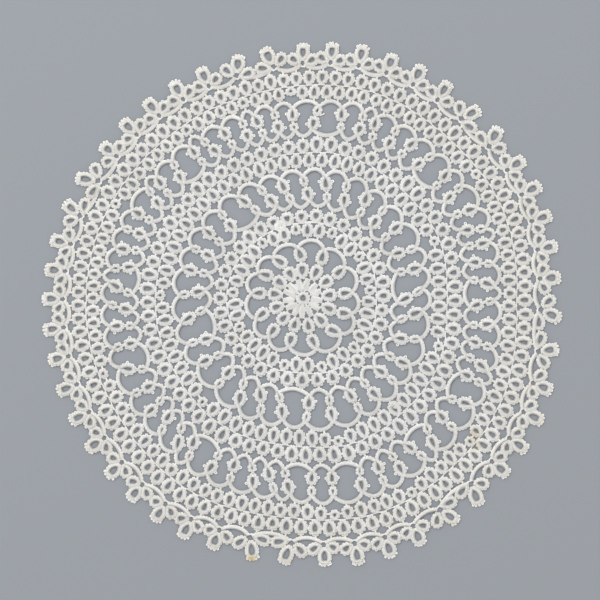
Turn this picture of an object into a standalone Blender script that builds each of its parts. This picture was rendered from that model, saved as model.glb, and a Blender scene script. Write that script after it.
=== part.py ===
"""A round tatted lace doily, about 300 mm across, lying flat.

The lace is worked in one piece, so it is one solid: a sheet as thick as the pressed thread work,
with its rim of 49 clovers and the larger gaps between rings and chains cut through it.

Seven rounds are worked outwards. Rounds 2, 4 and 6 are bands of small rings on both sides of one
bare thread. Rounds 3 and 5 are columns of two rings between an inner and an outer row of chains.
Round 1 is a flower of ring pairs and arches, and round 7 is the rim of clovers.

Places are given by a turn, in degrees clockwise from the top of the doily, and a reach, in
millimetres from the middle of the rounds. The model is in metres, +Z up, +Y to the doily's top.
"""
import math

import bpy

MM = 0.001
NAME = "doily"

# ---- driving dimensions, in millimetres -------------------------------------------------------
THICKNESS = 1.4                     # core thread with the wraps above and below it
CHAIN_WIDTH = 2.1                   # a row of double stitches, seen from above
BIG_RING = 3.1                      # half the width of a big column ring, with its side picots
SMALL_RING = 2.35                   # half the width of a small column ring
WAIST = 1.0                         # half the width where the two rings of a column are joined
CHAIN_BOW = 0.8                     # how square a chain bows: 1 is a sine, less is squarer

# Round 1: the arches around the flower.
FLOWER_PETAL_TIP = 18.9             # the notch between two inner rings
FLOWER_JOIN = 20.8                  # an inner and an outer ring meet tip to tip
FLOWER_RING = (24.9, 3.2)           # reach and half width of an outer ring
FLOWER_FOOT = 29.4                  # where two arches meet
FLOWER_SHOULDER = (29.0, 1.9)       # reach and half width of the outer ring just inside its foot
FLOWER_CROWN = 33.0                 # top of an arch, on its centre line

# Rounds 3 and 5: reaches of the inner chain's dip, its feet, the outer chain's feet and its crown.
COLUMN_ROUNDS = {
    3: {"dip": 53.2, "foot": 56.3, "head": 71.5, "crown": 75.2},
    5: {"dip": 95.1, "foot": 98.5, "head": 112.3, "crown": 115.8},
}
BIG_RING_SHARE = 0.58               # share of a column's height that its big ring takes
COLUMN_END = (0.10, 1.7)            # share of the height from either end, and half the width there

# Round 7: half a clover, from its crown down to the top of its side ring.
CLOVER = (  # across, reach
    (2.3, 150.9),
    (3.9, 148.8),
    (4.0, 144.9),
    (6.6, 144.4),
)
VALLEY = 142.6                      # between the side rings of two clovers
VALLEY_DROP = 0.45                  # lower for each degree that the clovers are further apart
CLOVER_FOOT = 137.8                 # where the chains on both sides of a clover meet
LEAN = 0.32                         # clovers lean so much towards a chain of three rings

# The gaps between a foot of a chain and the rings of the next band: reach and half size.
STARS = {
    "1-2": (32.6, 2.7),
    "2-3": (51.6, 3.1),
    "3-4": (75.3, 3.0),
    "4-5": (93.1, 3.05),
    "6-7": (134.0, 3.2),
}
WIDE_STARS = {  # under a small ring: reach of its point, its shoulders and its top, half widths
    "1-2": {"point": 30.8, "shoulder": 34.2, "top": 37.1, "wide": 3.6, "narrow": 2.5},
    "3-4": {"point": 72.8, "shoulder": 75.8, "top": 79.0, "wide": 3.3, "narrow": 2.3},
    "5-6": {"point": 113.9, "shoulder": 116.4, "top": 119.6, "wide": 3.1, "narrow": 2.2},
}

# ---- the chart of the rounds ------------------------------------------------------------------
# Bands of rings: how many rings face outwards, and the turn of the first of them.
BANDS = {
    2: {"rings": 36, "first": -0.6},
    4: {"rings": 68, "first": -0.5},
    6: {"rings": 104, "first": 1.05},
}
# Where the chains of a round are joined to the rings of a band: the slot of the first ring taken,
# the number of chains, the rings that a chain usually takes, the chains that take another number,
# and the chains whose foot has a small ring of its own. A slot counts the band's outward rings,
# and a half slot is a ring that faces inwards.
CHAINS = {
    "1 outer": {"first": 2.5, "chains": 13, "takes": 2, "others": {},
                "small": (0, 1, 2, 4, 5, 6, 8, 9, 11, 12)},
    "3 inner": {"first": 1.0, "chains": 32, "takes": 1, "others": {7: 2, 16: 2, 22: 2, 28: 2},
                "small": ()},
    "3 outer": {"first": 0.5, "chains": 32, "takes": 2, "others": {6: 1},
                "small": (6, 10, 15, 20, 24)},
    "5 inner": {"first": 1.0, "chains": 57, "takes": 1,
                "others": {0: 2, 6: 2, 13: 2, 18: 2, 21: 2, 25: 2, 27: 2, 32: 2, 38: 2, 42: 2, 49: 2},
                "small": ()},
    "5 outer": {"first": 1.5, "chains": 57, "takes": 2,
                "others": {chain: 1 for chain in
                           (2, 7, 10, 13, 17, 21, 23, 26, 28, 33, 38, 42, 45, 47, 50, 53, 55)},
                "small": (8, 20, 23, 26, 38, 46, 56)},
    "7": {"first": 2.0, "chains": 49, "takes": 2,
          "others": {5: 3, 12: 3, 18: 3, 24: 3, 39: 3, 46: 3}, "small": ()},
}
SAME_WAY_UP = {5: 27}               # in round 5 this column repeats its neighbour's way up
PULL = 0.1                          # slots that a chain of more rings draws its two feet together

# ---- handmade unevenness ----------------------------------------------------------------------
LEADS = (  # band, waves per turn, degrees that the rings run ahead, turn of the furthest ahead
    (2, 1, 1.4, 232),
    (2, 2, 0.6, 32),
    (4, 1, 0.3, 171),
    (4, 2, 0.2, 69),
    (4, 3, 0.45, 113),
    (4, 4, 0.2, 74),
    (6, 1, 1.9, 265),
    (6, 3, 0.4, 117),
    (6, 5, 0.3, 46),
)
BULGES = (  # waves per turn, millimetres outwards at the rim, turn of the first bulge
    (2, 0.5, 14),
    (3, 1.55, 26),
    (4, 0.7, 40),
    (5, 0.5, 72),
    (7, 0.7, 11),
    (8, 0.5, 24),
)
BULGE_GROWTH = 0.7                  # a bulge grows with this power of the reach
RIM = 145.5
# The middle of the first round lies at one place and that of the rim at another, both measured
# from the middle of the doily's box.
FIRST_ROUND = {"reach": 25.0, "x": 0.85, "y": 3.30}
LAST_ROUND = {"reach": 145.5, "x": 2.28, "y": -0.97}
SHIFT_GROWTH = 1.5


def place(turn, reach):
    """The point of the doily at a turn and a reach, in metres."""
    swell = (reach / RIM) ** BULGE_GROWTH
    for waves, height, first in BULGES:
        reach += swell * height * math.cos(math.radians(waves * (turn - first)))
    span = LAST_ROUND["reach"] - FIRST_ROUND["reach"]
    share = min(max((reach - FIRST_ROUND["reach"]) / span, 0.0), 1.0) ** SHIFT_GROWTH
    middle_x = FIRST_ROUND["x"] + share * (LAST_ROUND["x"] - FIRST_ROUND["x"])
    middle_y = FIRST_ROUND["y"] + share * (LAST_ROUND["y"] - FIRST_ROUND["y"])
    angle = math.radians(turn)
    return ((middle_x + reach * math.sin(angle)) * MM, (middle_y + reach * math.cos(angle)) * MM)


def lead(band, turn):
    """How far the rings of a band run ahead of an even spacing, in degrees."""
    return sum(size * math.cos(math.radians(waves * (turn - peak)))
               for row, waves, size, peak in LEADS if row == band)


def ring_turn(band, slot):
    """The turn of a ring of a band."""
    turn = BANDS[band]["first"] + slot * 360.0 / BANDS[band]["rings"]
    return turn + lead(band, turn)


def extra(name, chain):
    """How many more rings a chain takes than the one before it."""
    chart = CHAINS[name]
    before = (chain - 1) % chart["chains"]
    return chart["others"].get(chain, chart["takes"]) - chart["others"].get(before, chart["takes"])


def feet(name, band):
    """The turns at which the chains of a round meet, one for each chain, in order."""
    chart = CHAINS[name]
    slot = chart["first"]
    turns = []
    for chain in range(chart["chains"]):
        small = chain in chart["small"]
        foot = slot if small else slot - 0.5
        turns.append(ring_turn(band, foot + PULL * extra(name, chain)))
        slot += small + chart["others"].get(chain, chart["takes"])
    return turns


def after(turns, index):
    """The foot after this one, past a full turn for the last."""
    return turns[index + 1] if index + 1 < len(turns) else turns[0] + 360.0


def beside(turn, reach, across):
    """The turn that lies so many millimetres clockwise of another at this reach."""
    return turn + math.degrees(across / reach)


def chain_points(start, end, foot, middle, shares):
    """Points along a chain that bows from its feet to its middle."""
    points = []
    for share in shares:
        bow = math.sin(math.pi * share) ** CHAIN_BOW
        points.append((start + share * (end - start), foot + (middle - foot) * bow))
    return points


def arch(start, end):
    """The opening between two ring pairs of round 1, under an arch."""
    ring_reach, ring_half = FLOWER_RING
    shoulder, shoulder_half = FLOWER_SHOULDER
    inside = CHAIN_WIDTH / 2
    right = [
        (beside(end, FLOWER_JOIN, -WAIST), FLOWER_JOIN),
        (beside(end, ring_reach, -ring_half), ring_reach),
        (beside(end, shoulder, -shoulder_half), shoulder),
    ]
    top = chain_points(end, start, FLOWER_FOOT - inside, FLOWER_CROWN - inside, (0.25, 0.5, 0.75))
    left = [
        (beside(start, shoulder, shoulder_half), shoulder),
        (beside(start, ring_reach, ring_half), ring_reach),
        (beside(start, FLOWER_JOIN, WAIST), FLOWER_JOIN),
    ]
    return [((start + end) / 2, FLOWER_PETAL_TIP)] + right + top + left


def column_side(low, high, sizes, big_below, side):
    """One side of a column of two rings, from its foot to its head."""
    foot = sizes["foot"]
    head = sizes["head"]
    below, above = (BIG_RING, SMALL_RING) if big_below else (SMALL_RING, BIG_RING)
    join = BIG_RING_SHARE if big_below else 1 - BIG_RING_SHARE
    end_share, end_half = COLUMN_END
    stops = (  # share of the column's height, half width there
        (end_share, end_half),
        (join / 2, below),
        (join, WAIST),
        ((1 + join) / 2, above),
        (1 - end_share, end_half),
    )
    points = []
    for share, half in stops:
        reach = foot + share * (head - foot)
        turn = low + share * (high - low)
        points.append((beside(turn, reach, side * half), reach))
    return points


def column_gap(lows, highs, index, sizes, ways):
    """The S-shaped opening between two columns of a round."""
    inside = CHAIN_WIDTH / 2
    low, high = lows[index], highs[index]
    next_low, next_high = after(lows, index), after(highs, index)
    next_way = ways[(index + 1) % len(ways)]
    bottom = chain_points(low, next_low, sizes["foot"] + inside, sizes["dip"] + inside, (0.3, 0.7))
    top = chain_points(next_high, high, sizes["head"] - inside, sizes["crown"] - inside, (0.3, 0.7))
    right = column_side(next_low, next_high, sizes, next_way, -1)
    left = column_side(low, high, sizes, ways[index], 1)
    return bottom + right + top + left[::-1]


def star(turn, reach, half):
    """The four-cornered gap outside or inside the foot of a chain."""
    return [
        (turn, reach - half),
        (beside(turn, reach, half), reach),
        (turn, reach + half),
        (beside(turn, reach, -half), reach),
    ]


def wide_star(turn, sizes):
    """The five-cornered gap between the foot of two chains and the small ring that faces it."""
    shoulder, top = sizes["shoulder"], sizes["top"]
    return [
        (turn, sizes["point"]),
        (beside(turn, shoulder, sizes["wide"]), shoulder),
        (beside(turn, top, sizes["narrow"]), top),
        (beside(turn, top, -sizes["narrow"]), top),
        (beside(turn, shoulder, -sizes["wide"]), shoulder),
    ]


def rim(clovers):
    """The doily's outline: the clovers and the valleys between them."""
    pitch = 360.0 / len(clovers)
    points = []
    for index, turn in enumerate(clovers):
        following = after(clovers, index)
        lean = LEAN * extra("7", index)
        left = [(-across, reach) for across, reach in CLOVER[::-1]]
        right = list(CLOVER)
        for across, reach in left + right:
            points.append((beside(turn, reach, across + lean * (reach - CLOVER_FOOT)), reach))
        valley = VALLEY - VALLEY_DROP * max(following - turn - pitch, 0.0)
        points.append(((turn + following) / 2, valley))
    return points


def ways_up(count, repeat=None):
    """Which columns have their big ring below: every other one, apart from one repeat."""
    ways = []
    for column in range(count):
        way = column % 2 == 0
        if repeat is not None and column >= repeat:
            way = not way
        ways.append(way)
    return ways


def gaps():
    """All the openings that are cut through the sheet."""
    flower = feet("1 outer", 2)
    arches = [arch(turn, after(flower, index)) for index, turn in enumerate(flower)]

    columns = []
    for number, sizes in COLUMN_ROUNDS.items():
        lows = feet(f"{number} inner", number - 1)
        highs = feet(f"{number} outer", number + 1)
        ways = ways_up(len(lows), SAME_WAY_UP.get(number))
        columns += [column_gap(lows, highs, index, sizes, ways) for index in range(len(lows))]

    stars = []
    for between, name, band in (("1-2", "1 outer", 2), ("2-3", "3 inner", 2), ("3-4", "3 outer", 4),
                                ("4-5", "5 inner", 4), ("5-6", "5 outer", 6), ("6-7", "7", 6)):
        for index, turn in enumerate(feet(name, band)):
            if index in CHAINS[name]["small"]:
                stars.append(wide_star(turn, WIDE_STARS[between]))
            elif between in STARS:
                stars.append(star(turn, *STARS[between]))
    return arches + columns + stars


def add_loop(curve, points):
    """A closed straight-sided loop through points given by turn and reach."""
    spline = curve.splines.new("POLY")
    spline.points.add(len(points) - 1)
    for point, (turn, reach) in zip(spline.points, points):
        point.co = (*place(turn, reach), 0.0, 1.0)
    spline.use_cyclic_u = True


def cotton():
    """Undyed white cotton thread."""
    material = bpy.data.materials.new("white_cotton_thread")
    material.use_nodes = True
    shader = material.node_tree.nodes["Principled BSDF"]
    shader.inputs["Base Color"].default_value = (0.80, 0.79, 0.75, 1.0)
    shader.inputs["Roughness"].default_value = 0.9
    shader.inputs["Metallic"].default_value = 0.0
    return material


def make_doily(collection):
    """The doily's sheet: its rim and its gaps in one flat curve, as thick as the lace."""
    curve = bpy.data.curves.new(NAME, "CURVE")
    curve.dimensions = "2D"
    curve.fill_mode = "BOTH"
    curve.extrude = THICKNESS / 2 * MM
    add_loop(curve, rim(feet("7", 6)))
    for loop in gaps():
        add_loop(curve, loop)
    curve.materials.append(cotton())
    doily = bpy.data.objects.new(NAME, curve)
    doily.location.z = THICKNESS / 2 * MM
    collection.objects.link(doily)
    return doily


def main():
    for old in list(bpy.data.objects):
        bpy.data.objects.remove(old, do_unlink=True)
    collection = bpy.data.collections.new("lace_doily")
    bpy.context.scene.collection.children.link(collection)
    make_doily(collection)
    bpy.context.view_layer.update()


main()
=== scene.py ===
# %% [markdown]
# # A tatted lace doily
#
# Tatting is lace made with a shuttle. Its only stitch is the double stitch: two half hitches tied
# round a core thread. A row of them drawn up into a loop is a ring, a row left open is a chain, and
# a loop of thread left between two stitches is a picot. This doily has seven rounds of rings and
# chains around a small wheel.
#
# The frame holds the flat sheet that collides and gives the doily its size. This script puts the
# thread work in its place, in the same metres, and changes no size.

# %% Load the frame
import math
import random

import bpy
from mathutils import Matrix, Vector


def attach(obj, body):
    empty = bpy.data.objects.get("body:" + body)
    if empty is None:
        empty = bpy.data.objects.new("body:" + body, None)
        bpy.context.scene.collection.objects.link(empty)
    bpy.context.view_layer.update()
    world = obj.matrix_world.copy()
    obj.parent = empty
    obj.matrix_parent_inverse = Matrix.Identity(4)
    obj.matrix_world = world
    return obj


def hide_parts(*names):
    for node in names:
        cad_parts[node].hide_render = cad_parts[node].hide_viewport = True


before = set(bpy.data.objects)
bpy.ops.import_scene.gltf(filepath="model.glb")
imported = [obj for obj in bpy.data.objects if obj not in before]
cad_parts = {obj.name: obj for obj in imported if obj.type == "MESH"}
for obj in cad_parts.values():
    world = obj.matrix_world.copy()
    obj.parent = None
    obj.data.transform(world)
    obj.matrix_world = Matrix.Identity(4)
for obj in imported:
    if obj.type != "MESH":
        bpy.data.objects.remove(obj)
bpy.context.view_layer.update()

MM = 0.001

# %% [markdown]
# ## The chart
#
# A tatter works from a chart: how many rings a round has, and which of them each chain is joined
# to. The same chart places everything here. Rounds 2, 4 and 6 are bands: small rings stand on both
# sides of one bare thread, and a "slot" counts the rings that face outwards, so a half slot is a
# ring that faces inwards. The chains of the other rounds are joined to those rings, usually one or
# two to a chain, with a few faults that a hand has made and that are kept here. Each ring could be
# placed by numbers of its own, but the counts are fewer, and with them every join fits.

# %% The chart of the rounds
BANDS = {
    1: {"rings": 13, "first": 1.0},
    2: {"rings": 36, "first": -0.6},
    4: {"rings": 68, "first": -0.5},
    6: {"rings": 104, "first": 1.05},
}
CHAINS = {
    "1 outer": {"first": 2.5, "chains": 13, "takes": 2, "others": {},
                "small": (0, 1, 2, 4, 5, 6, 8, 9, 11, 12)},
    "3 inner": {"first": 1.0, "chains": 32, "takes": 1, "others": {7: 2, 16: 2, 22: 2, 28: 2},
                "small": ()},
    "3 outer": {"first": 0.5, "chains": 32, "takes": 2, "others": {6: 1},
                "small": (6, 10, 15, 20, 24)},
    "5 inner": {"first": 1.0, "chains": 57, "takes": 1,
                "others": {0: 2, 6: 2, 13: 2, 18: 2, 21: 2, 25: 2, 27: 2, 32: 2, 38: 2, 42: 2, 49: 2},
                "small": ()},
    "5 outer": {"first": 1.5, "chains": 57, "takes": 2,
                "others": {chain: 1 for chain in
                           (2, 7, 10, 13, 17, 21, 23, 26, 28, 33, 38, 42, 45, 47, 50, 53, 55)},
                "small": (8, 20, 23, 26, 38, 46, 56)},
    "7": {"first": 2.0, "chains": 49, "takes": 2,
          "others": {5: 3, 12: 3, 18: 3, 24: 3, 39: 3, 46: 3}, "small": ()},
}
SAME_WAY_UP = {5: 27}               # in round 5 this column repeats its neighbour's way up
PULL = 0.1                          # slots that a chain of more rings draws its two feet together

# %% [markdown]
# ## Handmade unevenness
#
# No round of handmade lace is a true circle. Where a tatter pulls tighter, the round draws in and
# its rings crowd together. A few slow waves, each one bulge or several to a turn, say how far each
# round strays, and the middle of the rounds drifts as the work grows outwards. Random shifts would
# be simpler, but they would tear joined rings apart, while a slow wave moves neighbours together.
# Every place is given as a turn, in degrees clockwise from the top, and a reach in millimetres
# from the middle.

# %% Waves of unevenness
LEADS = (  # band, waves per turn, degrees that the rings run ahead, turn of the furthest ahead
    (1, 1, 2.0, 185),
    (2, 1, 1.4, 232),
    (2, 2, 0.6, 32),
    (4, 1, 0.3, 171),
    (4, 2, 0.2, 69),
    (4, 3, 0.45, 113),
    (4, 4, 0.2, 74),
    (6, 1, 1.9, 265),
    (6, 3, 0.4, 117),
    (6, 5, 0.3, 46),
)
BULGES = (  # waves per turn, millimetres outwards at the rim, turn of the first bulge
    (2, 0.5, 14),
    (3, 1.55, 26),
    (4, 0.7, 40),
    (5, 0.5, 72),
    (7, 0.7, 11),
    (8, 0.5, 24),
)
BULGE_GROWTH = 0.7                  # a bulge grows with this power of the reach
RIM = 145.5                         # mm
FIRST_ROUND = {"reach": 25.0, "x": 0.85, "y": 3.30}     # mm, where the middle of a round lies
LAST_ROUND = {"reach": RIM, "x": 2.28, "y": -0.97}
SHIFT_GROWTH = 1.5                  # the middle drifts from one to the other with this power


def place(turn, reach):
    """The point of the doily at a turn and a reach, in millimetres."""
    swell = (reach / RIM) ** BULGE_GROWTH
    for waves, height, first in BULGES:
        reach += swell * height * math.cos(math.radians(waves * (turn - first)))
    span = LAST_ROUND["reach"] - FIRST_ROUND["reach"]
    share = min(max((reach - FIRST_ROUND["reach"]) / span, 0.0), 1.0) ** SHIFT_GROWTH
    middle_x = FIRST_ROUND["x"] + share * (LAST_ROUND["x"] - FIRST_ROUND["x"])
    middle_y = FIRST_ROUND["y"] + share * (LAST_ROUND["y"] - FIRST_ROUND["y"])
    angle = math.radians(turn)
    return Vector((middle_x + reach * math.sin(angle), middle_y + reach * math.cos(angle)))


def ring_turn(band, slot):
    """The turn of a ring of a band."""
    turn = BANDS[band]["first"] + slot * 360.0 / BANDS[band]["rings"]
    return turn + sum(size * math.cos(math.radians(waves * (turn - peak)))
                      for row, waves, size, peak in LEADS if row == band)


def extra(name, chain):
    """How many more rings a chain takes than the one before it."""
    chart = CHAINS[name]
    before = (chain - 1) % chart["chains"]
    return chart["others"].get(chain, chart["takes"]) - chart["others"].get(before, chart["takes"])


def feet(name, band):
    """The turns at which the chains of a round meet, and the slots of the rings they take."""
    chart = CHAINS[name]
    slot = chart["first"]
    turns = []
    big = []
    small = []
    for chain in range(chart["chains"]):
        has_small = chain in chart["small"]
        foot = slot if has_small else slot - 0.5
        turns.append(ring_turn(band, foot + PULL * extra(name, chain)))
        if has_small:
            small.append(slot)
        slot += has_small
        takes = chart["others"].get(chain, chart["takes"])
        big.append([slot + ring for ring in range(takes)])
        slot += takes
    return turns, big, small


def after(turns, index):
    """The foot after this one, past a full turn for the last."""
    return turns[index + 1] if index + 1 < len(turns) else turns[0] + 360.0


def beside(turn, reach, across):
    """The turn that lies so many millimetres clockwise of another at this reach."""
    return turn + math.degrees(across / reach)


print("rings outwards:", {band: chart["rings"] for band, chart in BANDS.items()})

# %% [markdown]
# ## Thread and stitches
#
# The thread is a medium cotton, about half a millimetre thick. A double stitch holds the core in
# two turns of thread that lie side by side, and takes up 1.6 mm of the core. Pressed flat, a row of
# them is rather over 1 mm thick and about 2.8 mm wide in a ring, where it fans out round the bend,
# and 2.45 mm in a chain. The small bars of the knots lie along its outer edge. A ring's first and
# last stitches crowd together at its base, so its row closes all the way round. These sizes set the
# scale of the whole lace. A route says where the core runs. Rows and bare thread are kept apart,
# because only the rows are tied into stitches later.

# %% Sizes of thread and stitch
THREAD = 0.5                        # mm, thickness of the thread
STITCH = 1.6                        # mm of core that one double stitch takes up
RING_ROW = 2.8                      # mm, a row of stitches in a ring, seen from above
CHAIN_ROW = 2.45                    # mm, a row in a chain or in a small, tight ring
ROW_THICKNESS = 1.15                # mm
LIE = ROW_THICKNESS / 2             # height of the core above the table
HALF_ROW = RING_ROW / 2
TIP_GAP = 0.45                      # mm of picot between a ring's tip and the chain it is joined to
TIP_TO_CHAIN = (RING_ROW + CHAIN_ROW) / 2 + TIP_GAP
CHAIN_PAST = 0.5                    # mm that a chain's end runs past its foot, against the next chain
CROWDED = 0.2                       # mm past the middle of a ring's base to its first and last stitch
TUCKED = 0.7                        # half rows from the core, where picots and joins come out of a row
JOIN_ROOT = 0.8                     # half rows from the core, where a join at a ring's tip comes out
JOIN_PAST = 0.3                     # mm that a join runs on into the rows at its ends
JOIN_TWIST = 0.08                   # mm that its two threads lie above and below each other
print("a double stitch is", STITCH, "mm of core in", THREAD, "mm thread")

# %% The small unevenness of a hand
RING_TILT = 0.15                    # mm at most that a ring's tip is lifted off the table
CHAIN_LIFT = 0.1                    # mm at most that a chain is
ROW_STRAYS = 0.03                   # share that a row is wider or narrower than it should be
hand = random.Random(7)             # seeded, so the same on every run


def uneven(size):
    """A small seeded error, up to this size either way."""
    return hand.uniform(-size, size)


def varied(size, share):
    """A size made larger or smaller by up to this share."""
    return size * (1 + uneven(share))


print("rows are", RING_ROW, "mm wide, by up to", ROW_STRAYS * RING_ROW, "mm more or less")

# %% The routes of the thread
RING_STEPS = 32                     # points of a ring's route
ROUNDED = 0.65                      # the less, the rounder the ends of a ring


def drop(share, point):
    """Half the width of a drop shape at a share of the way round it; more point, narrower base."""
    if share in (0, 0.5, 1):
        return 0.0
    side = math.sin(2 * math.pi * share)
    return math.copysign(abs(side) ** ROUNDED, side) * math.sin(math.pi * share) ** point


SEWN_APART = 0.52                   # mm between the rows of a sewn end
SEWN_HEIGHT = 0.8                   # mm, over the rows that it is sewn to
SEWN_ROUND = 1.15                   # 1 would make its outline an ellipse, more a rounded square
SEWN_STRAYS = {"across": 0.12, "along": 0.3, "up": 0.08}    # mm
LOOSE_BEND = 0.4                    # radians at most that a loose end bends
PICOT_LOOP = (  # shares of a picot's width across it, and of its size out from the row
    (-0.55, 0.0),
    (-0.85, 0.28),
    (-0.95, 0.60),
    (-0.60, 0.90),
    (0.0, 1.0),
    (0.60, 0.90),
    (0.95, 0.60),
    (0.85, 0.28),
    (0.55, 0.0),
)


def on_route(spot, height=LIE, full=1.0):
    """A point of a route: its place, its height, and how full the row is there."""
    return (*spot, height, full)


class Thread:
    """The routes that the thread takes in one round: stitched rows, and bare thread."""

    def __init__(self):
        self.rows = []
        self.bare = []

    def ring(self, base, tip, half_width, point=0.3, row=RING_ROW):
        """A ring drawn up at its base: a drop shape, gone round so that its outside is on the right."""
        along = (tip - base).normalized()
        across = Vector((along.y, -along.x))
        swell = [drop(step / RING_STEPS, point) for step in range(RING_STEPS + 1)]
        widest = max(swell)
        tilt = abs(uneven(RING_TILT))
        row = varied(row, ROW_STRAYS)
        route = []
        for step, wide in enumerate(swell):
            out = (1 - math.cos(2 * math.pi * step / RING_STEPS)) / 2
            crossed = math.copysign(CROWDED * (1 - out) ** 4, step - RING_STEPS / 2)
            spot = base.lerp(tip, out) + across * (half_width * wide / widest + crossed)
            route.append(on_route(spot, LIE + tilt * out, row / RING_ROW))
        self.rows.append(route)
        return across

    def chain(self, points):
        """A chain through these points, with its outside on the right."""
        lift = abs(uneven(CHAIN_LIFT))
        first = points[0] + (points[0] - points[1]).normalized() * CHAIN_PAST
        last = points[-1] + (points[-1] - points[-2]).normalized() * CHAIN_PAST
        self.rows.append([on_route(spot, LIE + lift, CHAIN_ROW / RING_ROW)
                          for spot in (first, *points[1:-1], last)])

    def strand_round(self, points):
        """Bare thread all the way round the doily, in a right and a left half."""
        half = len(points) // 2
        self.bare.append(points[:half + 1])
        self.bare.append(points[half:] + points[:1])

    def picot(self, root, out, size, width=0.62):
        """A loop of bare thread that stands out from the edge of a row."""
        out = out.normalized()
        along = Vector((-out.y, out.x))
        self.bare.append([on_route(root + out * reach * size + along * share * width)
                          for share, reach in PICOT_LOOP])

    def sewn_end(self, x, y, heading, long, wide):
        """A thread's end sewn to and fro over a small gap, with its rows along the heading."""
        along = Vector((math.cos(math.radians(heading)), math.sin(math.radians(heading))))
        across = Vector((-along.y, along.x))
        turns = math.ceil(wide / SEWN_APART)
        end = []
        for turn in range(turns + 1):
            out = (turn / turns - 0.5) * wide
            reach = math.sqrt(SEWN_ROUND - (2 * out / wide) ** 2) * long / 2
            for side in ((-1, 1) if turn % 2 else (1, -1)):
                spot = Vector((x, y)) + across * (out + uneven(SEWN_STRAYS["across"]))
                spot += along * side * (reach + uneven(SEWN_STRAYS["along"]))
                end.append(on_route(spot, SEWN_HEIGHT + uneven(SEWN_STRAYS["up"])))
        self.bare.append(end)

    def loose_end(self, x, y, heading, length):
        """A cut end of thread that sticks out, a little bent, with its heading anticlockwise from +X."""
        angle = math.radians(heading)
        bend = uneven(LOOSE_BEND)
        end = []
        for share in (0.0, 0.35, 0.7, 1.0):
            way = angle + bend * share
            end.append(on_route((x + math.cos(way) * length * share,
                                 y + math.sin(way) * length * share)))
        self.bare.append(end)

    def join_sides(self, ring, following, share=0.55):
        """Joins two rings, each (slot, base, tip, half width), where they are widest."""
        widest = ring[1].lerp(ring[2], share)
        next_widest = following[1].lerp(following[2], share)
        step = (next_widest - widest).normalized()
        start = widest + step * (ring[3] + HALF_ROW * TUCKED)
        end = next_widest - step * (following[3] + HALF_ROW * TUCKED)
        if (end - start).dot(step) > 0:
            self.join(start, end)

    def join(self, start, end, spread=0.3, waist=0.5):
        """A picot join: two short threads between the edges of two rows, closer at the waist."""
        axis = end - start
        aside = Vector((axis.y, -axis.x)).normalized() * spread
        past = axis.normalized() * JOIN_PAST
        for side in (-1, 1):
            spots = (start - past + aside * side,
                     (start + end) / 2 + aside * side * waist,
                     end + past + aside * side)
            self.bare.append([on_route(spot, LIE + side * JOIN_TWIST) for spot in spots])


print("points in a ring's route:", RING_STEPS + 1)

# %% [markdown]
# ## Chains
#
# A chain bows from foot to foot, because its core is drawn up a little. Two chains end close beside
# the foot that they share. A bow could be an arc of a circle, but pressed lace bows more squarely,
# so it is a sine wave with a power that sets how square it is. Rings of the next band are joined to
# a chain wherever they meet it, so each ring asks how far out the chain lies at its own turn.

# %% How the chains run
CHAIN_REACHES = {  # mm: reaches of feet and middle, ends beside the foot; how square the bow is
    "1 outer": {"foot": 29.5, "middle": 33.0, "apart": 0.6, "square": 0.65},
    "3 inner": {"foot": 56.0, "middle": 52.8, "apart": 0.6, "square": 0.75},
    "3 outer": {"foot": 70.9, "middle": 74.6, "apart": 0.6, "square": 0.75},
    "5 inner": {"foot": 98.1, "middle": 94.8, "apart": 0.6, "square": 0.75},
    "5 outer": {"foot": 112.1, "middle": 115.6, "apart": 0.6, "square": 0.75},
    "7": {"foot": 137.5, "middle": 135.0, "apart": 1.5, "square": 0.7},
}
CHAIN_BANDS = {"1 outer": 2, "3 inner": 2, "3 outer": 4, "5 inner": 4, "5 outer": 6, "7": 6}
CHAIN_FEET = {name: feet(name, band) for name, band in CHAIN_BANDS.items()}
SLACK = 0.4                         # mm that a chain bows more or less than the others of its round
CHAIN_SLACK = {name: [uneven(SLACK) for _ in turns] for name, (turns, _, _) in CHAIN_FEET.items()}


def bowed(name, index, share):
    """The reach of a chain at a share of the way from foot to foot."""
    sizes = CHAIN_REACHES[name]
    bow = math.sin(math.pi * share) ** sizes["square"] if 0 < share < 1 else 0.0
    return sizes["foot"] + (sizes["middle"] + CHAIN_SLACK[name][index] - sizes["foot"]) * bow


def chain_reach(name, turn):
    """How far out the chains of a round lie at a turn."""
    turns = CHAIN_FEET[name][0]
    for index, start in enumerate(turns):
        end = after(turns, index)
        share = ((turn - start) % 360.0) / (end - start)
        if share < 1:
            return bowed(name, index, share)
    return CHAIN_REACHES[name]["foot"]


def chain_route(name, index, clockwise, steps=16):
    """A chain from one foot to the next, as points of the doily."""
    turns = CHAIN_FEET[name][0]
    sizes = CHAIN_REACHES[name]
    start = beside(turns[index], sizes["foot"], sizes["apart"])
    end = beside(after(turns, index), sizes["foot"], -sizes["apart"])
    route = [place(start + step / steps * (end - start), bowed(name, index, step / steps))
             for step in range(steps + 1)]
    return route if clockwise else route[::-1]


print("chains:", {name: len(turns) for name, (turns, _, _) in CHAIN_FEET.items()})

# %% [markdown]
# ## Bands of rings
#
# In a band the shuttle thread runs bare from one ring to the next, a ring out, a ring in. Each ring
# is as wide as its neighbours leave room for. Its hole is about 2 mm wide, and its row fills the
# room between the hole and the next ring's row, which it is joined to. Its tip is joined to the
# chain that it meets. The inward rings that face the foot between two chains are smaller, because
# they meet none. Copies of one ring would leave gaps where the lace is stretched and overlap where
# it is drawn in, so each ring is sized by its own place.

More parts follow.
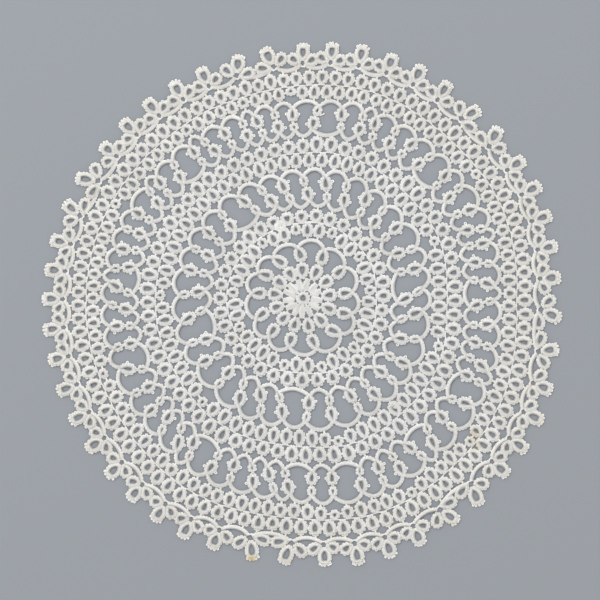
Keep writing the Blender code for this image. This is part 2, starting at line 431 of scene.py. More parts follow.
# %% Lay out the bands
BAND_RINGS = {  # mm: reach of thread line and small rings' outer edge, and from line to ring bases
    2: {"thread": 43.6, "small": 36.4, "out": 0.5, "in": 1.1},
    4: {"thread": 84.9, "small": 78.7, "out": 0.6, "in": 1.0},
    6: {"thread": 124.9, "small": 119.1, "out": 1.1, "in": 0.7},
}
SMALL_HALF = 1.85                   # mm, half width of a small ring along its core
HOLE = {1: 1.02, -1: 0.92}          # mm, half the width of the hole in the others, outwards, inwards
ROWS = (2.6, 3.05)                  # mm, the narrowest and the widest row of the others
LINE_OFF = 0.15                     # mm that the thread itself is drawn towards each ring
BAND_STRAYS = {"half": 0.05, "line": 0.3, "turn": 0.3}  # a share, mm, and degrees at this reach:
STRAY_REACH = 50                    # mm; further out a ring's ends turn less, to stray as far
NEXT_SLOT = 1.1                    # slots at most between rings that are joined side by side


def ring_row(number, slot, reach):
    """How wide the row of a ring is, to fill the room up to its neighbours at this reach."""
    room = math.radians(ring_turn(number, slot + 0.5) - ring_turn(number, slot - 0.5)) * reach / 2
    return min(max(room - HOLE[1], ROWS[0]), ROWS[1])


def lay_band(number, inner_name, outer_name):
    """The rings of a band, its bare thread and the joins between its rings."""
    work = Thread()
    sizes = BAND_RINGS[number]
    _, big, small = CHAIN_FEET[inner_name]
    slots = [(float(slot), "out") for slot in range(BANDS[number]["rings"])]
    slots += [(slot, "in") for chain in big for slot in chain]
    slots += [(slot, "small") for slot in small]
    slots.sort(key=lambda entry: entry[0])
    sides = {"out": [], "in": []}
    zigzag = []
    for slot, kind in slots:
        turn = ring_turn(number, slot)
        way = 1 if kind == "out" else -1
        if kind == "small":
            tip_reach = sizes["small"] + HALF_ROW
            row = CHAIN_ROW
            half = SMALL_HALF
        else:
            meets = chain_reach(outer_name if way > 0 else inner_name, turn)
            tip_reach = meets - way * TIP_TO_CHAIN
            row = ring_row(number, slot, (sizes["thread"] + tip_reach) / 2)
            half = HOLE[way] + row / 2
        half = varied(half, BAND_STRAYS["half"])
        line = sizes["thread"] + uneven(BAND_STRAYS["line"])
        side = "out" if way > 0 else "in"
        base = place(turn + uneven(BAND_STRAYS["turn"]) * STRAY_REACH / tip_reach,
                     line + way * sizes[side])
        tip = place(turn + uneven(BAND_STRAYS["turn"]) * STRAY_REACH / tip_reach, tip_reach)
        work.ring(base, tip, half, row=row)
        if kind != "small":
            out = (tip - base).normalized()
            work.join(tip + out * HALF_ROW * JOIN_ROOT, tip + out * (HALF_ROW + TIP_GAP))
        zigzag.append(on_route(place(turn, line + way * LINE_OFF)))
        sides[side].append((slot, base, tip, half))
    work.strand_round(zigzag)
    for rings in sides.values():
        for ring, following in zip(rings, rings[1:] + rings[:1]):
            if (following[0] - ring[0]) % BANDS[number]["rings"] < NEXT_SLOT:
                work.join_sides(ring, following)
    return work


bands = {
    2: lay_band(2, "1 outer", "3 inner"),
    4: lay_band(4, "3 outer", "5 inner"),
    6: lay_band(6, "5 outer", "7"),
}
print("band rings:", {number: len(work.rows) for number, work in bands.items()})

# %% [markdown]
# ## Columns between chains
#
# Rounds 3 and 5 are worked back and forth: a ring at the inner edge, a ring at the outer edge that
# is joined to it tip to tip, with a chain along each edge from one column to the next. Every other
# column is the other way up, with its big ring outside. The big rings have a picot on each side.
# Here and there a cut end of thread has worked loose, or has been sewn to and fro over a gap. A
# column runs from the foot of one chain to the foot of another, so it leans where the chart of the
# two edges differs.

# %% Lay out the columns
COLUMN_RINGS = {  # mm, half widths; and the share of the way up where the two rings meet
    3: {"big_half": 2.15, "small_half": 1.4, "big_below": 0.58, "small_below": 0.40},
    5: {"big_half": 2.15, "small_half": 1.4, "big_below": 0.58, "small_below": 0.38},
}
COLUMN_PICOT = 1.1                  # mm that a side picot stands out
PICOT_UP = 0.45                     # share of the way from a ring's base to its tip, where it is
COLUMN_STRAYS = {"bow": 0.9, "half": 0.08, "picot_up": 0.12, "picot": 0.25}     # mm or a share
FOOT_IN = 0.3                       # mm from the foot of the chains to the base of a column's ring
MEETING = {"half": 0.3, "spread": 0.4, "waist": 1.4}    # mm, mm and a share: the join in the middle
LOOSE_ENDS = (  # round, x and y in mm where a cut end comes out, its heading in degrees, mm long
    (5, 10.2, 108.0, 8, 3.2),
    (5, 22.2, 105.5, 20, 1.7),
    (3, 33.6, -54.2, 250, 1.8),
)
SEWN_ENDS = (  # band, x and y of its middle in mm, heading of its rows in degrees, mm long and wide
    (2, -12.3, 44.4, 150, 6.2, 5.2),
    (4, 53.2, -57.6, 40, 3.4, 4.6),
)


def ways_up(count, repeat=None):
    """Which columns have their big ring below: every other one, apart from one repeat."""
    return [(column % 2 == 0) != (repeat is not None and column >= repeat)
            for column in range(count)]


def lay_columns(number):
    """The chains and ring columns of round 3 or 5."""
    work = Thread()
    sizes = COLUMN_RINGS[number]
    inner, outer = f"{number} inner", f"{number} outer"
    lows = CHAIN_FEET[inner][0]
    highs = CHAIN_FEET[outer][0]
    ways = ways_up(len(lows), SAME_WAY_UP.get(number))
    for index, (low, high) in enumerate(zip(lows, highs)):
        work.chain(chain_route(inner, index, clockwise=True))
        work.chain(chain_route(outer, index, clockwise=False))
        foot = place(low, CHAIN_REACHES[inner]["foot"] + FOOT_IN)
        head = place(high, CHAIN_REACHES[outer]["foot"] - FOOT_IN)
        up = (head - foot).normalized()
        bow = Vector((up.y, -up.x)) * uneven(COLUMN_STRAYS["bow"])
        meet = foot.lerp(head, sizes["big_below" if ways[index] else "small_below"]) + bow
        for big, base in ((ways[index], foot), (not ways[index], head)):
            tip = meet - (meet - base).normalized() * HALF_ROW
            half = varied(sizes["big_half" if big else "small_half"], COLUMN_STRAYS["half"])
            across = work.ring(base, tip, half, point=0.4 if big else 0.3,
                               row=RING_ROW if big else CHAIN_ROW)
            if not big:
                continue
            for side in (-1, 1):
                edge = across * side * (half + HALF_ROW * TUCKED)
                root = base.lerp(tip, PICOT_UP + uneven(COLUMN_STRAYS["picot_up"])) + edge
                work.picot(root, across * side, COLUMN_PICOT + uneven(COLUMN_STRAYS["picot"]))
        work.join(meet - up * MEETING["half"], meet + up * MEETING["half"],
                  spread=MEETING["spread"], waist=MEETING["waist"])
    return work


columns = {number: lay_columns(number) for number in COLUMN_RINGS}
for number, x, y, heading, length in LOOSE_ENDS:
    columns[number].loose_end(x, y, heading, length)
for number, x, y, heading, long, wide in SEWN_ENDS:
    bands[number].sewn_end(x, y, heading, long, wide)
print("rows in the column rounds:", {number: len(work.rows) for number, work in columns.items()})

# %% [markdown]
# ## The wheel and the flower
#
# The doily starts at one ring with 13 picots. Round it lies the first band: 13 rings that face
# inwards, so narrow that their two sides close up, and 13 that face outwards. The thread's first
# ends are sewn in here too, so the wheel is dense and lumpy. Round 1 joins an oval to each outward
# ring, tip to tip, with an arch from oval to oval, and so makes a flower. The crowded wheel could be
# a lumpy disc, but its rows show from close by, so it is worked like the rest, only less evenly.

# %% Lay out the wheel and the flower
WHEEL = {  # reaches and half widths in mm
    "hub": 2.7, "in_tip": 3.7, "in_base": 10.9, "in_half": 0.8,
    "out_base": 12.3, "out_tip": 20.6, "out_half": 2.45,
}
WHEEL_TURNS = {"out_base": 1.5, "in_base": 3.5, "in_tip": 6.0}      # degrees that an end strays
WHEEL_STRAYS = {  # mm that an end strays outwards or inwards, and shares of the half widths
    "out_base": 0.3, "out_tip": 0.2, "out_half": 0.06, "in_base": 0.5, "in_tip": 0.6, "in_half": 0.3,
}
HUB_POINTS = 24
CLOSED_ROW = 2.35                   # mm, the rows of the closed rings, squeezed together
OVAL = {"tip": 20.6, "base": 29.1, "half": 2.35, "strays": 0.05}    # mm, and a share of the half
WHEEL_ENDS = (  # turn and reach of the middle of an end sewn in, degrees across the spokes, long, wide
    (75, 7.6, 80, 3.4, 3.0),
    (118, 8.2, 60, 3.0, 2.6),
    (262, 7.4, 95, 3.6, 3.2),
    (205, 8.4, 70, 2.6, 2.2),
    (330, 8.0, 85, 2.8, 2.4),
)


def strayed(name):
    """A reach of the wheel, a little uneven."""
    return WHEEL[name] + uneven(WHEEL_STRAYS[name])


def lay_wheel(work):
    """The hub, the closed rings round it and the first outward rings."""
    work.chain([place(-360.0 * step / HUB_POINTS, WHEEL["hub"]) for step in range(HUB_POINTS + 1)])
    zigzag = []
    outward = []
    for slot in range(BANDS[1]["rings"]):
        turn = ring_turn(1, slot)
        base = place(turn + uneven(WHEEL_TURNS["out_base"]), strayed("out_base"))
        tip = place(turn, strayed("out_tip") - HALF_ROW)
        half = varied(WHEEL["out_half"], WHEEL_STRAYS["out_half"])
        work.ring(base, tip, half, point=0.5)
        outward.append((slot, base, tip, half))
        zigzag.append(on_route(base))
        turn = ring_turn(1, slot + 0.5)
        base = place(turn + uneven(WHEEL_TURNS["in_base"]), strayed("in_base"))
        tip = place(turn + uneven(WHEEL_TURNS["in_tip"]), strayed("in_tip") + HALF_ROW)
        half = varied(WHEEL["in_half"], WHEEL_STRAYS["in_half"])
        work.ring(base, tip, half, point=0.0, row=CLOSED_ROW)
        work.join(place(turn, WHEEL["hub"] + HALF_ROW * JOIN_ROOT),
                  place(turn, WHEEL["in_tip"] + JOIN_PAST))
        zigzag.append(on_route(base))
    work.strand_round(zigzag)
    for ring, following in zip(outward, outward[1:] + outward[:1]):
        work.join_sides(ring, following, share=0.45)
    for turn, reach, across, long, wide in WHEEL_ENDS:
        work.sewn_end(*place(turn, reach), 90 - turn + across, long, wide)


def lay_flower(work):
    """The ovals joined to the first outward rings, and the arches between them."""
    for index, turn in enumerate(CHAIN_FEET["1 outer"][0]):
        work.chain(chain_route("1 outer", index, clockwise=False, steps=20))
        base = place(turn, OVAL["base"])
        tip = place(ring_turn(1, index + 1), OVAL["tip"] + HALF_ROW)
        work.ring(base, tip, varied(OVAL["half"], OVAL["strays"]), point=0.45)


flower = Thread()
lay_wheel(flower)
lay_flower(flower)
print("rows in the flower:", len(flower.rows))

# %% [markdown]
# ## The clover rim
#
# The last round is a rim of 49 clovers: three rings drawn up round a small eye, the middle one with
# a crown of picots. Side rings of two clovers touch where they can. From clover to clover runs a
# chain that sags in to the band it is joined to, and bare thread crosses from one chain to the next.
# A clover beside a chain of three rings leans, so all of it is set out from its own middle line.

# %% Lay out the rim
CLOVER = {"base": 141.0, "tip": 149.9, "half": 2.85}
CLOVER_STRAYS = {  # mm, a share of the half width, degrees round the tip
    "aside": 0.35, "tip": 0.5, "half": 0.07, "picot_turn": 4, "picot": 0.15, "side": 0.3,
}
SIDE_RING = {  # mm outwards from the middle ring's base, and mm to one side of its middle line
    "base_out": -2.3, "tip_out": 0.9, "base_across": 2.5, "least": 7.5, "most": 10.0, "half": 2.4,
    "follows": 0.25,                # the base moves aside by this share of what the tip does
}
CROSSING = {"in": 4.4, "half": 1.2, "spread": 0.2}      # mm from that base: thread between chains
CLOVER_ROW = 2.75                   # mm
TOUCHING = 0.45                     # rows from the middle between two clovers to a side ring's core
CLOVER_LEAN = 0.32                  # clovers lean so much towards a chain of three rings
CROWN = (  # degrees round the tip of the middle ring, and mm that the picot there stands out
    (-55, 1.4),
    (-28, 1.2),
    (0, 1.0),
    (28, 1.2),
    (55, 1.4),
)
CROWN_FAN = 0.5                     # the picots fan out by so much of that angle
CROWN_ARC = 0.8 * CLOVER["half"]    # mm, radius of the core where the crown stands
CROWN_TUCKED = 0.4                  # rows from the core to the roots of the picots


def turned(along, across, angle):
    """The direction at an angle from one direction towards another."""
    return along * math.cos(angle) + across * math.sin(angle)


def lay_rim():
    """The chains and clovers of the last round."""
    work = Thread()
    turns = CHAIN_FEET["7"][0]
    for index, turn in enumerate(turns):
        work.chain(chain_route("7", index, clockwise=True, steps=20))
        foot = CHAIN_REACHES["7"]["foot"]
        lean = CLOVER_LEAN * extra("7", index)
        base = place(beside(turn, foot, lean * (CLOVER["base"] - foot)), CLOVER["base"])
        aside = lean * (CLOVER["tip"] - foot) + uneven(CLOVER_STRAYS["aside"])
        tip = place(beside(turn, CLOVER["tip"], aside),
                    CLOVER["tip"] - HALF_ROW + uneven(CLOVER_STRAYS["tip"]))
        half = varied(CLOVER["half"], CLOVER_STRAYS["half"])
        across = work.ring(base, tip, half, row=CLOVER_ROW)
        along = (tip - base).normalized()
        for bend, size in CROWN:
            angle = math.radians(bend + uneven(CLOVER_STRAYS["picot_turn"]))
            root = tip - along * CROWN_ARC + turned(along, across, angle) * (
                CROWN_ARC + CLOVER_ROW * CROWN_TUCKED)
            work.picot(root, turned(along, across, angle * CROWN_FAN),
                       size + uneven(CLOVER_STRAYS["picot"]), width=0.5)
        crossing = base - along * CROSSING["in"]
        work.join(crossing - across * CROSSING["half"], crossing + across * CROSSING["half"],
                  spread=CROSSING["spread"])
        for side in (-1, 1):
            beyond = turns[(index + side) % len(turns)]
            room = abs((beyond - turn + 180) % 360 - 180) / 2
            touching = (math.radians(room) * CLOVER["base"] - CLOVER_ROW * TOUCHING
                        - side * lean * (CLOVER["base"] - foot) + uneven(CLOVER_STRAYS["side"]))
            tip_across = min(max(touching, SIDE_RING["least"]), SIDE_RING["most"])
            base_across = SIDE_RING["base_across"] + SIDE_RING["follows"] * (
                tip_across - SIDE_RING["least"])
            side_base = base + along * SIDE_RING["base_out"] + across * side * base_across
            tip_out = SIDE_RING["tip_out"] + uneven(CLOVER_STRAYS["side"])
            side_tip = base + along * tip_out + across * side * tip_across
            work.ring(side_base, side_tip, SIDE_RING["half"], row=CLOVER_ROW)
    return work


rim = lay_rim()
print("rows in the rim:", len(rim.rows))

# %% [markdown]
# ## Tying the stitches with Geometry Nodes
#
# Nearly 11,000 double stitches all follow one rule, so a node tree ties them. It cuts each route
# into nine points to a stitch and pushes each point sideways and up or down, to where the thread
# lies at that moment: over the core, down its inner side, under it, up the outer side, and back the
# other way. A tube along the moved points is the tied thread. One modelled stitch could be copied
# along each route instead, but copies break open in a tight ring, and moved points follow any bend.
# The sizes are inputs of the tree.

# %% Helpers for node trees
def add_node(tree, kind, links=(), **settings):
    """Adds a node with its own settings. Links pair its sockets with values or other outputs."""
    node = tree.nodes.new(kind)
    for name, value in settings.items():
        setattr(node, name, value)
    for socket, value in links:
        if isinstance(value, bpy.types.NodeSocket):
            tree.links.new(value, node.inputs[socket])
        else:
            node.inputs[socket].default_value = value
    return node


def number(tree, operation, *values):
    """The result of a math node on values or other outputs."""
    return add_node(tree, "ShaderNodeMath", enumerate(values), operation=operation).outputs[0]


def arrow(tree, operation, *values):
    """The vector that a vector math node makes of values or other outputs."""
    return add_node(tree, "ShaderNodeVectorMath", enumerate(values), operation=operation).outputs[0]


def new_tree(name, inputs):
    """An empty geometry tree with a geometry input, named number inputs and a geometry output."""
    tree = bpy.data.node_groups.new(name, "GeometryNodeTree")
    tree.interface.new_socket("Geometry", in_out="INPUT", socket_type="NodeSocketGeometry")
    for label, value in inputs.items():
        kind = "NodeSocketMaterial" if value is None else "NodeSocketFloat"
        socket = tree.interface.new_socket(label, in_out="INPUT", socket_type=kind)
        if value is not None:
            socket.default_value = value
    tree.interface.new_socket("Geometry", in_out="OUTPUT", socket_type="NodeSocketGeometry")
    return tree, tree.nodes.new("NodeGroupInput"), tree.nodes.new("NodeGroupOutput")


# %% The tree that ties double stitches
TIED = (  # where the thread is in turn: share of the stitch along, half rows out, half heights up
    (0.25, 0.67, 0.85),             # over the core, from the outer edge
    (0.25, -1.0, 0.50),             # round the inner edge
    (0.25, 0.60, -1.0),             # back under the core
    (0.05, 0.76, 0.20),             # up, to the bar that lies along the outer edge
    (0.50, 0.83, 0.35),             # the middle of the bar
    (0.93, 0.76, 0.20),             # its other end
    (0.75, 0.60, -1.0),             # under the core
    (0.75, -1.0, 0.50),             # round the inner edge
    (0.75, 0.67, 0.85),             # over the core, to the outer edge
)
ON_BAR = 0.7                        # half rows out, past which the thread is part of a bar
PRESSED_WIDE = 1.64 * THREAD        # the thread of a stitch, pressed flat against the next turn
PRESSED_THIN = 0.7 * THREAD
BARE_WIDE = 1.34 * THREAD           # from corner to corner of a tube with four sides


def keep(tree, geometry, name, value, kind):
    """Stores a value on each point of a curve, where the material can read it."""
    kept = add_node(tree, "GeometryNodeStoreNamedAttribute",
                    [("Geometry", geometry), ("Name", name), ("Value", value)],
                    data_type=kind, domain="POINT")
    return kept.outputs["Geometry"]


def thread_tube(tree, curve, wide, thin, material):
    """A four-sided tube of thread along a curve, shaded round and widest along its normal."""
    half_thin = number(tree, "MULTIPLY", thin, 0.5)
    profile = add_node(tree, "GeometryNodeCurvePrimitiveQuadrilateral",
                       [("Width", wide), ("Bottom Height", half_thin), ("Top Height", half_thin)],
                       mode="KITE")
    place_on_profile = add_node(tree, "GeometryNodeInputPosition")
    around = keep(tree, profile.outputs["Curve"], "thread_side", place_on_profile.outputs[0],
                  "FLOAT_VECTOR")
    run = add_node(tree, "GeometryNodeSplineParameter")
    along = keep(tree, curve, "thread_run", run.outputs["Length"], "FLOAT")
    tube = add_node(tree, "GeometryNodeCurveToMesh",
                    [("Curve", along), ("Profile Curve", around), ("Fill Caps", True)])
    smooth = add_node(tree, "GeometryNodeSetShadeSmooth", [("Geometry", tube.outputs["Mesh"])])
    real = add_node(tree, "GeometryNodeRealizeInstances", [("Geometry", smooth.outputs[0])])
    dressed = add_node(tree, "GeometryNodeSetMaterial",
                       [("Geometry", real.outputs[0]), ("Material", material)])
    return dressed.outputs[0]


def stitch_tree():
    """Ties double stitches round each spline: outside on its right, as wide as its radius says."""
    tree, given, result = new_tree("double_stitches", {
        "Stitch": STITCH * MM,
        "Half width": (HALF_ROW - PRESSED_THIN / 2) * MM,
        "Half height": (ROW_THICKNESS - PRESSED_THIN) / 2 * MM,
        "Thread width": PRESSED_WIDE * MM,
        "Thread thickness": PRESSED_THIN * MM,
        "Material": None,
    })
    fullness = add_node(tree, "GeometryNodeInputRadius").outputs[0]
    reach_out = number(tree, "MULTIPLY", given.outputs["Half width"], fullness)
    length = add_node(tree, "GeometryNodeSplineLength").outputs["Length"]
    stitches = number(tree, "ROUND", number(tree, "DIVIDE", length, given.outputs["Stitch"]))
    steps = float(len(TIED))
    points = number(tree, "MULTIPLY_ADD", stitches, steps, 1.0)
    cut = add_node(tree, "GeometryNodeResampleCurve",
                   [("Curve", given.outputs["Geometry"]), ("Count", points)])
    index = add_node(tree, "GeometryNodeSplineParameter").outputs["Index"]
    lookup = add_node(tree, "GeometryNodeIndexSwitch", data_type="VECTOR")
    while len(lookup.index_switch_items) < len(TIED):
        lookup.index_switch_items.new()
    tree.links.new(number(tree, "MODULO", index, steps), lookup.inputs["Index"])
    for step, (along, out, up) in enumerate(TIED):
        lookup.inputs[step + 1].default_value = (along - step / steps, out, up)
    parts = add_node(tree, "ShaderNodeSeparateXYZ", [(0, lookup.outputs[0])])
    tangent = add_node(tree, "GeometryNodeInputTangent").outputs[0]
    upwards = (0.0, 0.0, 1.0)
    right = arrow(tree, "CROSS_PRODUCT", tangent, upwards)
    on_bar = number(tree, "GREATER_THAN", parts.outputs[1], ON_BAR)
    flat_way = add_node(tree, "GeometryNodeSwitch",
                        [("Switch", on_bar), ("False", tangent), ("True", right)],
                        input_type="VECTOR")
    laid = add_node(tree, "GeometryNodeSetCurveNormal",
                    [("Curve", cut.outputs["Curve"]), ("Normal", flat_way.outputs[0])], mode="FREE")
    moves = []
    for part, size, direction in ((0, given.outputs["Stitch"], tangent),
                                  (1, reach_out, right),
                                  (2, given.outputs["Half height"], upwards)):
        amount = number(tree, "MULTIPLY", parts.outputs[part], size)
        move = add_node(tree, "ShaderNodeVectorMath",
                        [(0, direction), ("Scale", amount)], operation="SCALE")
        moves.append(move.outputs[0])
    offset = arrow(tree, "ADD", arrow(tree, "ADD", moves[0], moves[1]), moves[2])
    tied = add_node(tree, "GeometryNodeSetPosition",
                    [("Geometry", laid.outputs["Curve"]), ("Offset", offset)])
    even = add_node(tree, "GeometryNodeSetCurveRadius",
                    [("Curve", tied.outputs["Geometry"]), ("Radius", 1.0)])
    mesh = thread_tube(tree, even.outputs["Curve"], given.outputs["Thread width"],
                       given.outputs["Thread thickness"], given.outputs["Material"])
    tree.links.new(mesh, result.inputs["Geometry"])
    return tree


def bare_tree():
    """A plain tube of thread along each spline."""
    tree, given, result = new_tree("bare_thread",
                                   {"Thread width": BARE_WIDE * MM, "Material": None})
    mesh = thread_tube(tree, given.outputs["Geometry"], given.outputs["Thread width"],
                       given.outputs["Thread width"], given.outputs["Material"])
    tree.links.new(mesh, result.inputs["Geometry"])
    return tree


trees = {"rows": stitch_tree(), "bare": bare_tree()}
rounds = (flower, rim, *bands.values(), *columns.values())
core = sum(math.dist(spot[:2], beyond[:2]) for work in rounds for row in work.rows
           for spot, beyond in zip(row, row[1:]))
print("double stitches:", round(core / STITCH))

# %% [markdown]
# ## White cotton
#
# The thread is white cotton with a right-hand twist. It is matt and a little fuzzy. The doily is
# old: towards the rim it has yellowed slightly, and in a few places it is stained, most of all on
# one clover at the bottom and across two small rings at the lower right. The twist is a fine relief
# that winds along each thread. It is bump, because modelled plies would make the mesh several times
# as heavy. The trees have stored how far along the thread each point lies, and on which side of it,
# so the relief follows every stitch.

# %% Colours of the cotton
WHITE = "#F4F3F0"
SHADOWED = "#E6E4DF"                # duller places where the thread is a little soiled
YELLOWED = "#EFE7D3"
STAIN = "#DDBE72"
STAINS = (  # name, x and y in mm, radius in mm, strength
    ("clover tip at the bottom", -28.6, -146.8, 5.5, 0.95),
    ("clover tip beside it", -49.9, -142.9, 3.5, 0.28),
    ("small ring at the lower right", 99.0, -74.5, 6.0, 0.45),
    ("bare thread below it", 100.5, -81.5, 5.0, 0.40),
    ("faint mark left of the wheel", -35.0, -17.5, 9.0, 0.14),
    ("rim at the top", 18.5, 152.5, 6.0, 0.22),
    ("rim at the right", 140.0, -68.0, 7.0, 0.14),
    ("rim at the lower right", 88.0, -129.0, 8.0, 0.14),
)
RAGGED = 6.0                        # mm that the edge of a stain wanders
PLIES = 3
TWIST = 1.3                         # mm of thread for one full turn of a ply
RELIEF = 0.04                       # mm
MATT_COTTON = {
    "Roughness": 0.9, "Specular IOR Level": 0.25, "Sheen Weight": 0.2, "Sheen Roughness": 0.6,
    "Subsurface Weight": 0.5, "Subsurface Scale": 0.5 * MM, "Subsurface Radius": (1.0, 1.0, 1.0),
}


def linear(code):
    """A hex colour as linear values."""
    parts = [int(code[start:start + 2], 16) / 255 for start in (1, 3, 5)]
    return tuple(part / 12.92 if part <= 0.04045 else ((part + 0.055) / 1.055) ** 2.4
                 for part in parts) + (1.0,)


# %% The cotton thread
def mixed(tree, share, first, second):
    """A mix of two colours, whose sockets are the seventh and eighth of the node."""
    node = add_node(tree, "ShaderNodeMix", [(0, share), (6, first), (7, second)], data_type="RGBA")
    return node.outputs[2]


def noise(tree, spot, scale, detail):
    """Cloudy noise from 0 to 1, with so many lumps to a metre."""
    node = add_node(tree, "ShaderNodeTexNoise",
                    [("Vector", spot), ("Scale", scale), ("Detail", detail)])
    return node.outputs["Fac"]


def ranged(tree, value, low, high, result_low, result_high):
    """A value eased from one range to another."""
    node = add_node(tree, "ShaderNodeMapRange",
                    [("Value", value), ("From Min", low), ("From Max", high),
                     ("To Min", result_low), ("To Max", result_high)],
                    interpolation_type="SMOOTHSTEP")
    return node.outputs["Result"]


def stained(tree, spot, colour):
    """Lays the stains over a colour, each with a blotchy edge."""
    ragged = number(tree, "MULTIPLY", noise(tree, spot, 260.0, 3.0), RAGGED * MM)
    for name, x, y, radius, strength in STAINS:
        reach = add_node(tree, "ShaderNodeVectorMath",
                         [(0, spot), (1, (x * MM, y * MM, 0.0))], operation="DISTANCE", label=name)
        edge = number(tree, "ADD", reach.outputs["Value"], ragged)
        share = ranged(tree, edge, RAGGED * MM / 3, (radius + RAGGED / 2) * MM, strength, 0.0)
        colour = mixed(tree, share, colour, linear(STAIN))
    return colour


def cotton_thread():
    """Twisted white cotton, yellowed towards the rim and stained in places."""
    material = bpy.data.materials.new("white_cotton_thread")
    material.use_nodes = True
    tree = material.node_tree
    shader = tree.nodes["Principled BSDF"]
    for name, value in MATT_COTTON.items():
        shader.inputs[name].default_value = value
    spot = add_node(tree, "ShaderNodeTexCoord").outputs["Object"]
    dull = ranged(tree, noise(tree, spot, 45.0, 4.0), 0.35, 0.75, 0.0, 0.8)
    colour = mixed(tree, dull, linear(WHITE), linear(SHADOWED))
    reach = add_node(tree, "ShaderNodeVectorMath", [(0, spot)], operation="LENGTH")
    rimward = ranged(tree, reach.outputs["Value"], 80 * MM, 150 * MM, 0.05, 0.55)
    aged = number(tree, "MULTIPLY", rimward, noise(tree, spot, 70.0, 2.0))
    colour = mixed(tree, aged, colour, linear(YELLOWED))
    colour = stained(tree, spot, colour)
    tree.links.new(colour, shader.inputs["Base Color"])

    side = add_node(tree, "ShaderNodeAttribute", attribute_name="thread_side")
    run = add_node(tree, "ShaderNodeAttribute", attribute_name="thread_run")
    parts = add_node(tree, "ShaderNodeSeparateXYZ", [(0, side.outputs["Vector"])])
    angle = number(tree, "ARCTAN2", parts.outputs["Y"], parts.outputs["X"])
    turns = number(tree, "MULTIPLY_ADD", run.outputs["Fac"], 2 * math.pi / (TWIST * MM), angle)
    plies = number(tree, "SINE", number(tree, "MULTIPLY", turns, float(PLIES)))
    relief = number(tree, "MULTIPLY_ADD", noise(tree, spot, 7000.0, 2.0), 0.8, plies)
    bump = add_node(tree, "ShaderNodeBump",
                    [("Height", relief), ("Distance", RELIEF * MM), ("Strength", 0.8)])
    tree.links.new(bump.outputs["Normal"], shader.inputs["Normal"])
    return material


cotton = cotton_thread()
print("stains:", len(STAINS))

# %% [markdown]
# ## From routes to pieces
#
# The thread is shared out to six pieces, so that none is too heavy: rounds 1 to 4, rounds 5 and 6,
# and the rim, each in a right and a left half. The routes of a piece become two curve objects, one
# for the stitched rows and one for the bare thread. Each gets its tree, and the evaluated result is
# copied to a plain mesh. The two meshes are joined to one piece. The trees could stay on their
# objects, but a plain mesh is the same in every program.

# %% Make the pieces
def route_curve(name, routes):
    """A curve object with a spline for each route; a point's radius is how full the row is there."""
    curve = bpy.data.curves.new(name, "CURVE")
    curve.dimensions = "3D"
    for route in routes:
        spline = curve.splines.new("POLY")
        spline.points.add(len(route) - 1)
        for point, (x, y, z, full) in zip(spline.points, route):
            point.co = (x * MM, y * MM, z * MM, 1.0)
            point.radius = full
    holder = bpy.data.objects.new(name, curve)
    bpy.context.scene.collection.objects.link(holder)
    return holder


def grown_mesh(holder, tree):
    """The plain mesh that a tree makes from a curve object, which is then removed."""
    modifier = holder.modifiers.new(tree.name, "NODES")
    modifier.node_group = tree
    for item in tree.interface.items_tree:
        if item.in_out == "INPUT" and item.name == "Material":
            modifier[item.identifier] = cotton
    graph = bpy.context.evaluated_depsgraph_get()
    mesh = bpy.data.meshes.new_from_object(holder.evaluated_get(graph))
    bpy.data.objects.remove(holder)
    return mesh


def make_piece(name, work):
    """One mesh object from all the routes of a piece."""
    made = []
    for kind, routes in (("rows", work.rows), ("bare", work.bare)):
        if routes:
            mesh = grown_mesh(route_curve(f"{name}_{kind}", routes), trees[kind])
            piece = bpy.data.objects.new(f"{name}_{kind}", mesh)
            bpy.context.scene.collection.objects.link(piece)
            made.append(piece)
    with bpy.context.temp_override(active_object=made[0], selected_editable_objects=made):
        if len(made) > 1:
            bpy.ops.object.join()
    piece = made[0]
    piece.name = name
    piece.data.name = name
    return piece


def sides(name, *works):
    """Shares the routes of some rounds between a right and a left piece."""
    right = Thread()
    left = Thread()
    for work in works:
        for kind in ("rows", "bare"):
            for route in getattr(work, kind):
                middle = route[len(route) // 2]
                side = right if middle[0] > place(0, 0).x else left
                getattr(side, kind).append(route)
    return {f"{name}_right": right, f"{name}_left": left}


shares = {
    **sides("rounds_1_to_4", flower, bands[2], columns[3], bands[4]),
    **sides("rounds_5_and_6", columns[5], bands[6]),
    **sides("round_7", rim),
}
pieces = {name: make_piece(name, work) for name, work in shares.items()}
counts = {name: sum(len(face.vertices) - 2 for face in piece.data.polygons)
          for name, piece in pieces.items()}
print("triangles:", counts, "in all", sum(counts.values()))

# %% [markdown]
# ## Each piece on the root
#
# Each piece is a sheet of lace that lies flat. Its flat size is that of its half turn opened out
# into a strip: as long as the half turn is at its middle reach, and as wide as its rounds are. The
# length of its half turn opened out into a strip, at its middle reach, is worked out from the inner
# and outer reach of its rounds, but nothing uses it; a half ring leaves much of its own box empty.
# The piece's own box would be too large for it, because a half ring leaves much of its box empty.
# Each piece is attached to the root body, and the frame's own doily is hidden.

STRIPS = {  # inner and outer reach in mm
    "rounds_1_to_4": (0.0, 94.1),
    "rounds_5_and_6": (94.1, 134.3),
    "round_7": (134.0, 151.4),
}
for name, piece in pieces.items():
    inner, outer = STRIPS[name.rsplit("_", 1)[0]]
    length = math.pi * (inner + outer) / 2 * MM
    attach(piece, "root")
    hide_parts("doily")

# %% [markdown]
# ## Floor, light and camera
#
# The doily lies on a plain pale floor, under a large soft light from the upper left and a weaker
# one from the right. A floor as white as the cotton would hide it, so it is a little darker. The
# camera looks straight down from far enough away that the view is nearly flat.

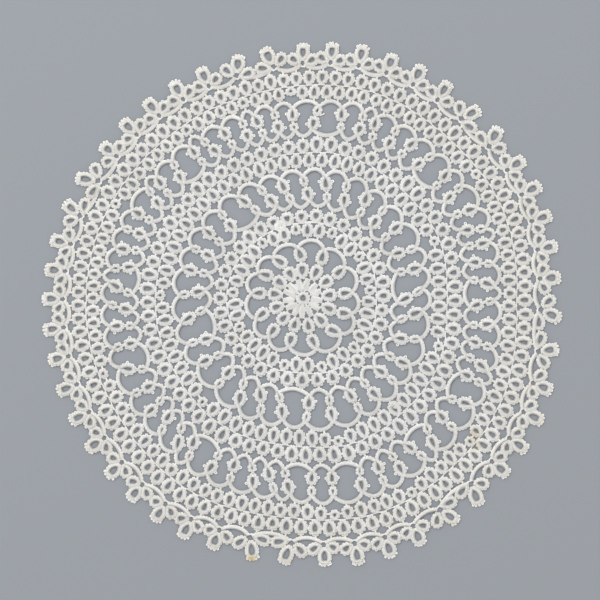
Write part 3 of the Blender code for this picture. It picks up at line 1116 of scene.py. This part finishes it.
# %% Set the stage
FLOOR_COLOUR = "#7F8388"
FLOOR_SIZE = 6.0                    # metres, like all sizes of the stage
UNDER = 0.0002                      # how far the floor is under the doily
LIGHTS = (  # name, place, size, power in watts
    ("key", (-0.7, 0.9, 1.6), 1.2, 28.0),
    ("fill", (1.2, -0.4, 1.6), 1.6, 9.0),
)
DAYLIGHT = 0.85                     # strength of the even white light from all round
FRAME_WIDTH = 0.3438                # width of floor that the picture takes in
FRAME_MIDDLE = (-0.00086, 0.00229)
CAMERA_HEIGHT = 2.2


def make_floor():
    """A plain matt floor."""
    bpy.ops.mesh.primitive_plane_add(size=FLOOR_SIZE, location=(0.0, 0.0, -UNDER))
    floor = bpy.context.object
    floor.name = "floor"
    material = bpy.data.materials.new("matt_floor")
    material.use_nodes = True
    shader = material.node_tree.nodes["Principled BSDF"]
    shader.inputs["Base Color"].default_value = linear(FLOOR_COLOUR)
    shader.inputs["Roughness"].default_value = 0.9
    floor.data.materials.append(material)


def make_light(name, spot, size, power):
    """A large soft area light that points at the doily."""
    light = bpy.data.lights.new(name, "AREA")
    light.size = size
    light.energy = power
    holder = bpy.data.objects.new(name, light)
    holder.location = spot
    holder.rotation_euler = (-Vector(spot)).to_track_quat("-Z", "Y").to_euler()
    bpy.context.scene.collection.objects.link(holder)


make_floor()
for light in LIGHTS:
    make_light(*light)
world = bpy.data.worlds.new("studio")
world.use_nodes = True
sky = world.node_tree.nodes["Background"]
sky.inputs["Color"].default_value = (1.0, 1.0, 1.0, 1.0)
sky.inputs["Strength"].default_value = DAYLIGHT
bpy.context.scene.world = world
bpy.context.scene.view_settings.view_transform = "Standard"

camera = bpy.data.cameras.new("camera")
camera.sensor_width = 36.0
camera.lens = camera.sensor_width * CAMERA_HEIGHT / FRAME_WIDTH
holder = bpy.data.objects.new("camera", camera)
holder.location = (*FRAME_MIDDLE, CAMERA_HEIGHT)
bpy.context.scene.collection.objects.link(holder)
bpy.context.scene.camera = holder
print("lens", round(camera.lens), "mm")
